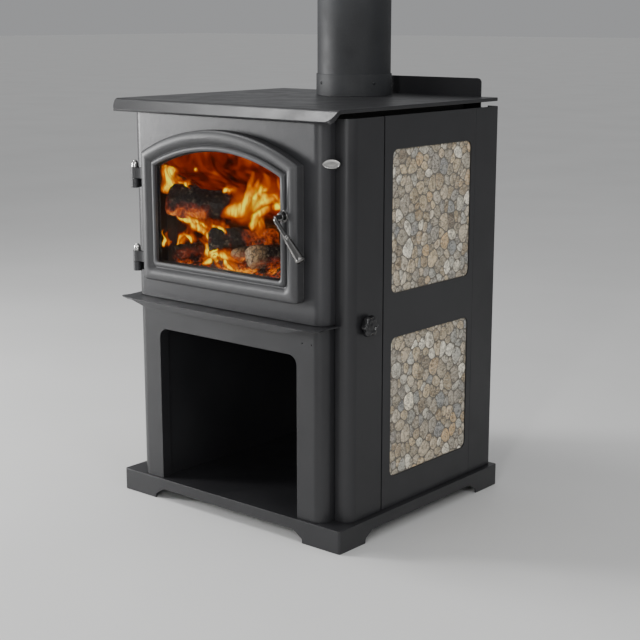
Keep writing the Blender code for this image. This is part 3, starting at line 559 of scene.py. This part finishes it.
def add_pebbles(node, side, seed, look):
    """A field of domed pebbles on a tile: one rounded cell for each scattered point."""
    low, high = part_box(node)
    y0, y1 = low.y + TILE_LAP, high.y - TILE_LAP
    z0, z1 = low.z + TILE_LAP, high.z - TILE_LAP
    face = high.x if side > 0 else low.x
    rng = random.Random(seed)
    placed = scatter(y0, y1, z0, z1, rng)
    rim = 0.0006
    frame_line = window_outline(y0 + rim, y1 - rim, z0 + rim, z1 - rim, WINDOW_R)
    bm = bmesh.new()
    for i, (y, z, size) in enumerate(placed):
        cell = list(frame_line)
        for j, (oy, oz, other) in enumerate(placed):
            gap = math.hypot(oy - y, oz - z)
            if i == j or gap > 0.075:
                continue
            way = ((oy - y) / gap, (oz - z) / gap)
            share = gap * 0.5 + 0.22 * (size ** 2 - other ** 2) / gap - 0.0008
            cell = clip(cell, (y + way[0] * share, z + way[1] * share), way)
            if len(cell) < 3:
                break
        if len(cell) < 3:
            continue
        ring = rounded(cell, PEBBLE_POINTS)
        cy = sum(p[0] for p in ring) / PEBBLE_POINTS
        cz = sum(p[1] for p in ring) / PEBBLE_POINTS
        reach = min(math.hypot(p[0] - cy, p[1] - cz) for p in ring)
        if reach < 0.0012:
            continue
        height = min(0.0026, 0.0012 + 0.13 * reach) * rng.uniform(0.8, 1.0)
        rings = []
        for shrink, lift in ((1.0, -0.0004), (0.98, 0.20), (0.92, 0.52), (0.80, 0.80),
                             (0.58, 0.95), (0.25, 1.0)):
            rise = lift if lift < 0 else lift * height
            rings.append([(face + side * rise, cy + (p[0] - cy) * shrink, cz + (p[1] - cz) * shrink)
                          for p in ring])
        skin(bm, rings)
    piece(node + "_pebbles", bm, look, "stove", 75.0)


# ---------------------------------------------------------------- knob, badge, screws
def add_knob(look):
    """Moulded knob with six lobes and a dished face."""
    low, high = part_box("air_knob")
    centre = (low + high) / 2
    depth = high.x - low.x
    reach = (high.y - low.y) / 2
    bm = bmesh.new()
    count = 72
    rings = []
    for along, scale, lobe in ((0.0, 0.70, 0.3), (0.06, 0.86, 0.6), (0.18, 0.97, 1.0),
                               (0.40, 1.0, 1.0), (0.66, 0.98, 1.0), (0.84, 0.90, 1.0),
                               (0.96, 0.76, 0.9), (1.0, 0.60, 0.7), (0.97, 0.50, 0.4),
                               (0.88, 0.44, 0.0), (0.84, 0.30, 0.0), (0.92, 0.20, 0.0),
                               (0.93, 0.08, 0.0)):
        ring = []
        for k in range(count):
            a = 2 * math.pi * k / count
            r = reach * scale * (1 - lobe * 0.11 * (1 - math.cos(6 * a)))
            ring.append((low.x + along * depth, centre.y + r * math.cos(a),
                         centre.z + r * math.sin(a)))
        rings.append(ring)
    skin(bm, rings)
    made = piece("air_knob_moulded", bm, look, "air_control", 60.0)
    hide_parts("air_knob")


def spun(bm, centre, axis, profile, count=96, flute=None):
    """Turn a closed (radius, height) profile about an axis."""
    axis = Vector(axis).normalized()
    across = axis.orthogonal().normalized()
    third = axis.cross(across)
    rows = []
    for radius, height in profile:
        row = []
        for k in range(count):
            a = 2 * math.pi * k / count
            r = radius * (flute(a, height) if flute else 1.0)
            row.append(bm.verts.new(Vector(centre) + axis * height
                                    + (across * math.cos(a) + third * math.sin(a)) * r))
        rows.append(row)
    for here, there in zip(rows, rows[1:] + rows[:1]):
        for k in range(count):
            n = (k + 1) % count
            bm.faces.new((here[k], here[n], there[n], there[k]))


def add_flue(looks):
    """Rolled pipe, collar and liner with turned-in rims."""
    for node, wall, slot in (("flue_pipe", 0.0015, "pipe_paint"),
                             ("flue_collar", 0.0020, "pipe_paint"),
                             ("flue_liner", 0.0010, "stainless")):
        low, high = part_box(node)
        centre = ((low.x + high.x) / 2, (low.y + high.y) / 2, 0.0)
        outer = (high.x - low.x) / 2
        bm = bmesh.new()
        profile = [(outer, low.z), (outer, high.z - 0.0010), (outer - 0.0003, high.z - 0.0002),
                   (outer - wall / 2, high.z), (outer - wall + 0.0002, high.z - 0.0002),
                   (outer - wall, high.z - 0.0010), (outer - wall, low.z)]
        spun(bm, centre, (0, 0, 1), profile)
        made = piece(node + "_rolled", bm, looks[slot], "stove", 40.0)
        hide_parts(node)


def add_bushing(look):
    """Cast bushing: scalloped flange, dark groove and a waisted hub round the rod."""
    low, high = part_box("handle_bushing")
    centre = ((low.x + high.x) / 2, high.y, (low.z + high.z) / 2)
    reach = (high.x - low.x) / 2
    bm = bmesh.new()
    profile = [(r * reach, h * 0.0125) for r, h in (
        (0.98, 0.00), (1.00, 0.10), (0.97, 0.22), (0.88, 0.27), (0.81, 0.22), (0.77, 0.06),
        (0.70, 0.05), (0.67, 0.20), (0.62, 0.50), (0.64, 0.80), (0.62, 0.94), (0.55, 1.00),
        (0.46, 0.99), (0.43, 0.93), (0.43, 0.02))]

    def flute(angle, height):
        if height < 0.0005 or height > 0.0036:
            return 1.0
        return 1.0 - 0.055 * (1 - math.cos(5 * angle)) / 2

    spun(bm, centre, (0, -1, 0), profile, 80, flute)
    made = piece("handle_bushing_cast", bm, look, "door", 50.0)
    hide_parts("handle_bushing")


def add_badge(look):
    """Plain oval plate with a raised rim."""
    low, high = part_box("oval_badge")
    centre = (low + high) / 2
    out = Vector((1, -1, 0)).normalized()
    along = Vector((1, 1, 0)).normalized()
    up = Vector((0, 0, 1))
    bm = bmesh.new()
    rings = []
    for scale, lift in ((0.94, -0.0014), (1.0, -0.0010), (1.0, 0.0006), (0.97, 0.0012),
                        (0.91, 0.0013), (0.87, 0.0007), (0.83, 0.0005), (0.4, 0.0008),
                        (0.05, 0.0009)):
        ring = []
        for k in range(48):
            a = 2 * math.pi * k / 48
            ring.append(centre + along * (BADGE_HALF[0] * scale * math.cos(a))
                        + up * (BADGE_HALF[1] * scale * math.sin(a)) + out * lift)
        rings.append(ring)
    skin(bm, rings)
    made = piece("oval_badge_rimmed", bm, look, "stove", 40.0)
    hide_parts("oval_badge")


def add_screw(bm, place, out, radius=0.0035):
    """Domed screw head with a square recess."""
    out = Vector(out).normalized()
    turn = Vector((0, 0, 1)).rotation_difference(out).to_matrix()
    rings = []
    for scale, lift in ((0.96, 0.0), (1.0, 0.0004), (0.93, 0.0012), (0.72, 0.0019),
                        (0.45, 0.0022)):
        rings.append([Vector(place) + turn @ Vector((radius * scale * math.cos(a),
                                                     radius * scale * math.sin(a), lift))
                      for a in (2 * math.pi * k / SCREW_POINTS for k in range(SCREW_POINTS))])
    inner = []
    for k in range(SCREW_POINTS):
        a = 2 * math.pi * k / SCREW_POINTS
        box = max(abs(math.cos(a)), abs(math.sin(a)))
        inner.append(Vector(place) + turn @ Vector((radius * 0.30 * math.cos(a) / box,
                                                    radius * 0.30 * math.sin(a) / box, 0.0021)))
    rings.append(inner)
    rings.append([p - out * 0.0012 for p in inner])
    skin(bm, rings)


def add_screws(look):
    """Four screws round the flue collar and six in the rear shield."""
    low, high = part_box("flue_collar")
    centre = (low + high) / 2
    radius = (high.x - low.x) / 2
    bm = bmesh.new()
    for degrees in (-20, 70, 160, 250):
        a = math.radians(degrees)
        out = Vector((math.cos(a), math.sin(a), 0))
        add_screw(bm, Vector((centre.x, centre.y, high.z - 0.020)) + out * (radius - 0.0003), out)
    piece("collar_screws", bm, look, "stove", 40.0)
    low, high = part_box("rear_shield")
    bm = bmesh.new()
    for x in (low.x + 0.018, high.x - 0.018):
        for z in (0.20, 0.48, 0.76):
            add_screw(bm, (x, high.y - 0.0002, z), (0, 1, 0))
    piece("shield_screws", bm, look, "stove", 40.0)


# ---------------------------------------------------------------- fire
def add_log(name, start, end, radius, seed, look, ash_end=0.0, glow=0.0):
    """A split log, burnt down to a cracked and lumpy shape."""
    rng = random.Random(seed)
    start, end = Vector(start), Vector(end)
    along = (end - start).normalized()
    side = along.orthogonal().normalized()
    up = along.cross(side)
    spin = rng.uniform(0, 6.28)
    sides = [rng.uniform(0.72, 1.0) for _ in range(5)]
    bm = bmesh.new()
    under = bm.verts.layers.float.new("under")
    ash = bm.verts.layers.float.new("ash")
    rings = []
    count = 40
    rows = 44
    for i in range(rows + 1):
        t = i / rows
        centre = start.lerp(end, t) + up * 0.006 * math.sin(3.0 * t + seed)
        taper = min(1.0, 0.72 + 5.0 * min(t, 1 - t))
        ring = []
        for k in range(count):
            a = 2 * math.pi * k / count
            r = min(s / max(math.cos(a - spin - 2 * math.pi * j / 5), 0.05)
                    for j, s in enumerate(sides))
            r = min(r, 1.12) * radius * taper
            point = centre + (side * math.cos(a) + up * math.sin(a)) * r
            coarse = noise.noise(point * 22 + Vector((seed, 0, 0))) * 0.010
            blocks = noise.voronoi(point * 55)[0]
            groove = -0.0035 * max(0.0, 1.0 - (blocks[1] - blocks[0]) * 5.0)
            ring.append(point + (point - centre).normalized() * (coarse + groove))
        rings.append(ring)
    for i, row in enumerate(skin(bm, rings)):
        for vert in row:
            down = (start.lerp(end, i / rows).z - vert.co.z) / radius
            vert[under] = glow + min(1.0, max(0.04, 0.30 + 0.85 * down))
            vert[ash] = ash_end * max(0.0, 1.0 - i / rows * 4.0)
    piece(name, bm, look, "stove", 60.0)


def bed_height(x, y):
    """Height of the embers over the bricks: a low mound of lumps."""
    lumps = noise.voronoi(Vector((x, y, 0.3)) * 48)[0]
    mound = math.exp(-((x - 0.01) / 0.13) ** 2 - ((y + 0.02) / 0.14) ** 2)
    return 0.006 + 0.030 * mound + 0.011 * (1 - min(1.0, lumps[0] * 1.6)) \
        + 0.006 * noise.noise(Vector((x, y, 0)) * 40)


def add_ember_bed(look):
    """A closed slab of embers between the firebricks, thin at its edges."""
    low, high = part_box("floor_firebrick_1")
    floor = high.z + 0.0006
    x0, x1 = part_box("left_firebrick_1")[1].x + 0.003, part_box("right_firebrick_1")[0].x - 0.003
    y0, y1 = low.y + 0.008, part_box("back_firebrick")[0].y - 0.003
    bm = bmesh.new()
    nx, ny = 110, 100
    top = []
    for j in range(ny + 1):
        row = []
        for i in range(nx + 1):
            x = x0 + (x1 - x0) * i / nx
            y = y0 + (y1 - y0) * j / ny
            edge = min(i, nx - i, j, ny - j) / 7.0
            row.append(bm.verts.new((x, y, floor + 0.001 + bed_height(x, y) * min(1.0, edge))))
        top.append(row)
    for j in range(ny):
        for i in range(nx):
            bm.faces.new((top[j][i], top[j][i + 1], top[j + 1][i + 1], top[j + 1][i]))
    border = top[0][:] + [row[-1] for row in top[1:]] + top[-1][-2::-1] \
        + [row[0] for row in top[-2:0:-1]]
    below = [bm.verts.new((v.co.x, v.co.y, floor)) for v in border]
    for k in range(len(border)):
        n = (k + 1) % len(border)
        bm.faces.new((border[k], border[n], below[n], below[k]))
    bm.faces.new(below)
    piece("ember_bed", bm, look, "stove", 60.0)


def add_tongue(bm, layers, path, width, seed, heat=1.0):
    """One flame: a flat wavy sleeve along a path, with its heat stored on its points."""
    core, life = layers
    rows, around = 26, 20
    rng = random.Random(seed)
    phase = rng.uniform(0, 6.28)
    made = []
    for i in range(rows + 1):
        t = i / rows
        spot = min(t * (len(path) - 1), len(path) - 1.0001)
        k = int(spot)
        f = spot - k
        p = [Vector(path[max(0, min(len(path) - 1, k + d))]) for d in (-1, 0, 1, 2)]
        centre = 0.5 * ((2 * p[1]) + (p[2] - p[0]) * f + (2 * p[0] - 5 * p[1] + 4 * p[2] - p[3])
                        * f * f + (3 * p[1] - p[0] - 3 * p[2] + p[3]) * f ** 3)
        centre += Vector((1, 0, 0)) * 0.012 * t * math.sin(9 * t + phase)
        half = width * math.sin(math.pi * (0.06 + 0.93 * t ** 0.8)) ** 0.9 * 0.5 + 0.0005
        tangent = (p[2] - p[1]).normalized()
        across = tangent.cross(Vector((0.0, 1.0, 0.0))).normalized()
        across = (across + Vector((0, 0.35 * math.sin(4 * t + phase), 0))).normalized()
        thick = across.cross(tangent).normalized()
        row = []
        for j in range(around):
            a = 2 * math.pi * j / around
            ripple = 1 + 0.22 * math.sin(11 * t + phase + 2 * math.cos(a))
            vert = bm.verts.new(centre + across * (half * math.cos(a) * ripple)
                                + thick * (half * 0.10 * math.sin(a)))
            vert[core] = heat * max(0.0, 1 - abs(math.cos(a)) ** 1.5)
            vert[life] = min(1.0, 5.0 * t + 0.15) * (1 - t ** 1.8) ** 0.8
            row.append(vert)
        made.append(row)
    for here, there in zip(made, made[1:]):
        for j in range(around):
            n = (j + 1) % around
            bm.faces.new((here[j], here[n], there[n], there[j]))
    bm.faces.new(made[0])
    bm.faces.new(made[-1])


def add_flames(look):
    """Every tongue twice: a wide dim one, and a narrow bright one in front of it."""
    bm = bmesh.new()
    layers = (bm.verts.layers.float.new("core"), bm.verts.layers.float.new("life"))
    tongues = [
        # the big flame that sweeps up to the right
        ([(-0.068, -0.200, 0.668), (-0.024, -0.200, 0.688), (0.010, -0.205, 0.706),
          (0.036, -0.210, 0.732), (0.040, -0.215, 0.765), (0.036, -0.220, 0.800)], 0.034),
        ([(-0.062, -0.190, 0.672), (-0.005, -0.200, 0.692), (0.034, -0.205, 0.712),
          (0.060, -0.210, 0.738), (0.072, -0.215, 0.765), (0.070, -0.220, 0.796)], 0.036),
        ([(-0.050, -0.212, 0.680), (-0.004, -0.212, 0.694), (0.030, -0.214, 0.716),
          (0.048, -0.216, 0.744), (0.058, -0.218, 0.782)], 0.034),
        ([(-0.010, -0.195, 0.690), (0.040, -0.205, 0.707), (0.078, -0.210, 0.721),
          (0.104, -0.215, 0.734), (0.120, -0.220, 0.765)], 0.028),
        ([(0.000, -0.188, 0.656), (0.024, -0.195, 0.664), (0.046, -0.200, 0.688),
          (0.068, -0.205, 0.712), (0.090, -0.210, 0.730)], 0.026),
        ([(0.084, -0.200, 0.700), (0.112, -0.205, 0.716), (0.126, -0.210, 0.742),
          (0.118, -0.215, 0.780)], 0.026),
        # the yellow flame at the upper left, and the one beside it
        ([(-0.226, -0.205, 0.706), (-0.227, -0.207, 0.735), (-0.221, -0.210, 0.765),
          (-0.215, -0.215, 0.800)], 0.046),
        ([(-0.219, -0.200, 0.724), (-0.220, -0.205, 0.748), (-0.212, -0.210, 0.775),
          (-0.206, -0.215, 0.806)], 0.034),
        ([(-0.140, -0.208, 0.766), (-0.131, -0.213, 0.782), (-0.121, -0.218, 0.800),
          (-0.110, -0.222, 0.826)], 0.026),
        ([(-0.188, -0.210, 0.786), (-0.168, -0.210, 0.782), (-0.150, -0.210, 0.776),
          (-0.134, -0.210, 0.770)], 0.013),
        # small licks over the upper log
        ([(-0.156, -0.205, 0.721), (-0.170, -0.205, 0.729), (-0.184, -0.205, 0.736),
          (-0.196, -0.205, 0.742)], 0.013),
        ([(-0.078, -0.185, 0.722), (-0.062, -0.185, 0.727), (-0.050, -0.185, 0.731),
          (-0.034, -0.185, 0.738)], 0.011),
        # the ridge under the upper log, then down the middle
        ([(-0.205, -0.214, 0.676), (-0.176, -0.216, 0.660), (-0.140, -0.220, 0.655),
          (-0.105, -0.222, 0.650), (-0.074, -0.224, 0.645), (-0.040, -0.222, 0.640)], 0.020),
        ([(-0.150, -0.218, 0.654), (-0.120, -0.222, 0.645), (-0.095, -0.224, 0.634),
          (-0.078, -0.226, 0.618)], 0.020),
        ([(-0.076, -0.228, 0.606), (-0.075, -0.228, 0.622), (-0.073, -0.226, 0.640),
          (-0.064, -0.224, 0.658)], 0.024),
        ([(-0.030, -0.220, 0.640), (-0.050, -0.222, 0.646), (-0.070, -0.222, 0.654),
          (-0.092, -0.222, 0.668)], 0.014),
        # the spread of flames at the bottom
        ([(-0.052, -0.240, 0.582), (-0.068, -0.240, 0.597), (-0.080, -0.240, 0.610),
          (-0.089, -0.240, 0.628)], 0.018),
        ([(-0.060, -0.240, 0.582), (-0.055, -0.240, 0.597), (-0.052, -0.240, 0.611),
          (-0.048, -0.240, 0.622)], 0.014),
        ([(-0.070, -0.242, 0.590), (-0.034, -0.242, 0.593), (-0.004, -0.242, 0.590),
          (0.030, -0.242, 0.580)], 0.017),
        ([(-0.050, -0.243, 0.592), (-0.062, -0.243, 0.580), (-0.072, -0.243, 0.571),
          (-0.080, -0.243, 0.563)], 0.014),
        ([(-0.052, -0.243, 0.592), (-0.042, -0.243, 0.580), (-0.035, -0.243, 0.571),
          (-0.030, -0.243, 0.562)], 0.014),
        ([(-0.022, -0.243, 0.586), (-0.010, -0.243, 0.576), (0.001, -0.243, 0.567),
          (0.008, -0.243, 0.560)], 0.012),
        # on the left, low down
        ([(-0.182, -0.222, 0.572), (-0.187, -0.222, 0.590), (-0.174, -0.222, 0.610),
          (-0.162, -0.222, 0.624), (-0.161, -0.222, 0.642)], 0.016),
        ([(-0.136, -0.222, 0.606), (-0.148, -0.222, 0.618), (-0.158, -0.222, 0.628),
          (-0.162, -0.222, 0.642)], 0.012),
        ([(-0.235, -0.215, 0.585), (-0.237, -0.215, 0.600), (-0.232, -0.215, 0.615),
          (-0.234, -0.215, 0.632)], 0.010),
    ]
    for seed, (path, width) in enumerate(tongues):
        behind = [(x, y + 0.012, z) for x, y, z in path]
        add_tongue(bm, layers, behind, width * 2.3 + 0.008, seed + 50, 0.50)
        add_tongue(bm, layers, path, width * 1.42, seed)
    piece("flames", bm, look, "stove", 180.0)


def add_flame_painted_shade_and_glow(look):
    """A rolling sheet of red flame, painted shade and painted firelight: up behind the logs, then
    forward under the tubes.
    """
    bm = bmesh.new()
    fade = bm.verts.layers.float.new("fade")
    path = [(-0.020, 0.640), (-0.080, 0.690), (-0.140, 0.730), (-0.190, 0.755), (-0.228, 0.785),
            (-0.240, 0.820), (-0.240, 0.856)]
    columns, rows = 46, 36
    sheets = []
    for offset in (0.0, 0.0012):
        sheet = []
        for j in range(rows + 1):
            spot = min(j / rows * (len(path) - 1), len(path) - 1.0001)
            k = int(spot)
            y = path[k][0] + (path[k + 1][0] - path[k][0]) * (spot - k)
            z = path[k][1] + (path[k + 1][1] - path[k][1]) * (spot - k)
            row = []
            for i in range(columns + 1):
                x = -0.243 + 0.486 * i / columns
                wave = 0.006 * noise.noise(Vector((x * 9, z * 9, 0.4)))
                vert = bm.verts.new((x, y + wave + offset, z - offset))
                edge = min(i, columns - i, j * 0.8) / 3.0
                vert[fade] = 0.98 * min(1.0, edge)
                row.append(vert)
            sheet.append(row)
        sheets.append(sheet)
    for sheet in sheets:
        for j in range(rows):
            for i in range(columns):
                bm.faces.new((sheet[j][i], sheet[j][i + 1], sheet[j + 1][i + 1], sheet[j + 1][i]))
    rims = [s[0] + [r[-1] for r in s[1:]] + s[-1][-2::-1] + [r[0] for r in s[-2:0:-1]]
            for s in sheets]
    for k in range(len(rims[0])):
        n = (k + 1) % len(rims[0])
        bm.faces.new((rims[0][k], rims[0][n], rims[1][n], rims[1][k]))
    piece("flame_painted_shade_and_glow", bm, look, "stove", 180.0)


def add_fire():
    char = charcoal()
    add_ember_bed(ember())
    glowing = 0.45
    ashy = 0.8
    add_log("log_back", (-0.19, 0.03, 0.585), (0.16, 0.06, 0.590), 0.040, 3, char)
    add_log("log_upper_left", (-0.205, -0.228, 0.700), (-0.075, -0.150, 0.672), 0.034, 5, char)
    add_log("log_lower_left", (-0.190, -0.232, 0.584), (-0.105, -0.05, 0.600), 0.028, 8, char)
    add_log("log_right", (0.048, -0.236, 0.588), (0.110, -0.09, 0.598), 0.025, 11, char, ashy)
    add_log("log_centre", (-0.075, -0.232, 0.616), (0.040, -0.13, 0.622), 0.026, 14, char, 0.0,
            glowing)
    add_log("log_short", (-0.002, -0.236, 0.598), (0.020, -0.12, 0.606), 0.016, 19, char, ashy)
    add_log("log_low", (-0.060, -0.238, 0.572), (0.060, -0.16, 0.566), 0.018, 23, char, 0.0,
            glowing)
    add_flames(flame())
    add_flame_painted_shade_and_glow(flame_painted_shade_and_glow())
    under_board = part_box("baffle_board")[0].z - 0.035
    add_softbox("fire_glow", (0.0, -0.05, under_board), (0.0, -0.06, 0.55), 0.30, 0.20, 0.5,
                (1.0, 0.30, 0.04))


# ---------------------------------------------------------------- put together
def dress(looks):
    """Give each CAD node the material of its slot in the record."""
    for entry in frame["record"]["subparts"]:
        node = nodes[entry["node"]]
        node.data.materials.clear()
        node.data.materials.append(looks[entry["material_slot"]])


def main():
    add_camera()
    add_studio()
    looks = {
        "black_paint": paint("black_paint", (0.015, 0.015, 0.0165), (0.024, 0.024, 0.026), 0.36,
                             1100.0, 0.00012),
        "cast_paint": cast_paint("cast_paint", (0.020, 0.020, 0.022), (0.034, 0.034, 0.037),
                                 0.38),
        "dark_steel": dark_steel(),
        "pipe_paint": paint("pipe_paint", (0.008, 0.0085, 0.010), (0.030, 0.032, 0.035), 0.58,
                            700.0, 0.00035),
        "stainless": satin_metal("stainless", (0.56, 0.55, 0.54), 0.30, (60.0, 60.0, 900.0)),
        "nickel": satin_metal("nickel", (0.72, 0.71, 0.69), 0.22, (500.0, 500.0, 500.0), 0.00003),
        "stone": grout(),
        "firebrick": firebrick(),
        "ceramic_board": fibre_board(),
        "glass": clear_glass(),
        "rope_seal": rope(),
        "knob_black": knob_black(),
    }
    dress(looks)
    for node, width in (("base_plinth", 0.0012), ("store_front", 0.0011), ("ash_lip", 0.0008),
                        ("top_plate", 0.0016), ("left_front_column", 0.0009),
                        ("right_front_column", 0.0009), ("left_side_panel", 0.0009),
                        ("right_side_panel", 0.0009), ("left_rear_column", 0.0009),
                        ("right_rear_column", 0.0009), ("rear_shield", 0.0009)):
        eased(node, width, looks["black_paint"])
    eased("firebox_front", 0.0012, looks["cast_paint"])
    # Painted light: a lighter copy of the cast paint, so the door and its knuckles read brighter,
    # as if more light fell on them.
    door_paint_painted_light = cast_paint("door_paint_painted_light", (0.031, 0.031, 0.033), (0.050, 0.050, 0.052), 0.46)
    for node in ("door_frame", "upper_door_knuckle", "lower_door_knuckle"):
        eased(node, 0.0, door_paint_painted_light, "door", TURNED_ANGLE)
    for node in ("upper_stove_knuckle", "lower_stove_knuckle"):
        eased(node, 0.0, looks["cast_paint"], "stove", TURNED_ANGLE)
    for node in ("upper_hinge_pin", "lower_hinge_pin"):
        eased(node, 0.0, looks["nickel"], "stove", TURNED_ANGLE)
    pewter = satin_metal("pewter", (0.21, 0.205, 0.20), 0.24, (260.0, 260.0, 260.0), 0.00006)
    for node in ("handle_rod", "handle_grip", "handle_end_cap"):
        eased(node, 0.0, pewter, "handle", TURNED_ANGLE)
    for node in ("air_tube_1", "air_tube_2", "air_tube_3"):
        eased(node, 0.0, looks["stainless"], "stove", TURNED_ANGLE)
    add_flue(looks)
    add_bushing(pewter)
    stones = pebble()
    for seed, (node, side) in enumerate((("left_lower_stone", -1), ("left_upper_stone", -1),
                                         ("right_lower_stone", 1), ("right_upper_stone", 1))):
        add_pebbles(node, side, 40 + seed, stones)
    add_knob(looks["knob_black"])
    add_badge(looks["nickel"])
    add_screws(looks["pipe_paint"])
    add_fire()


main()
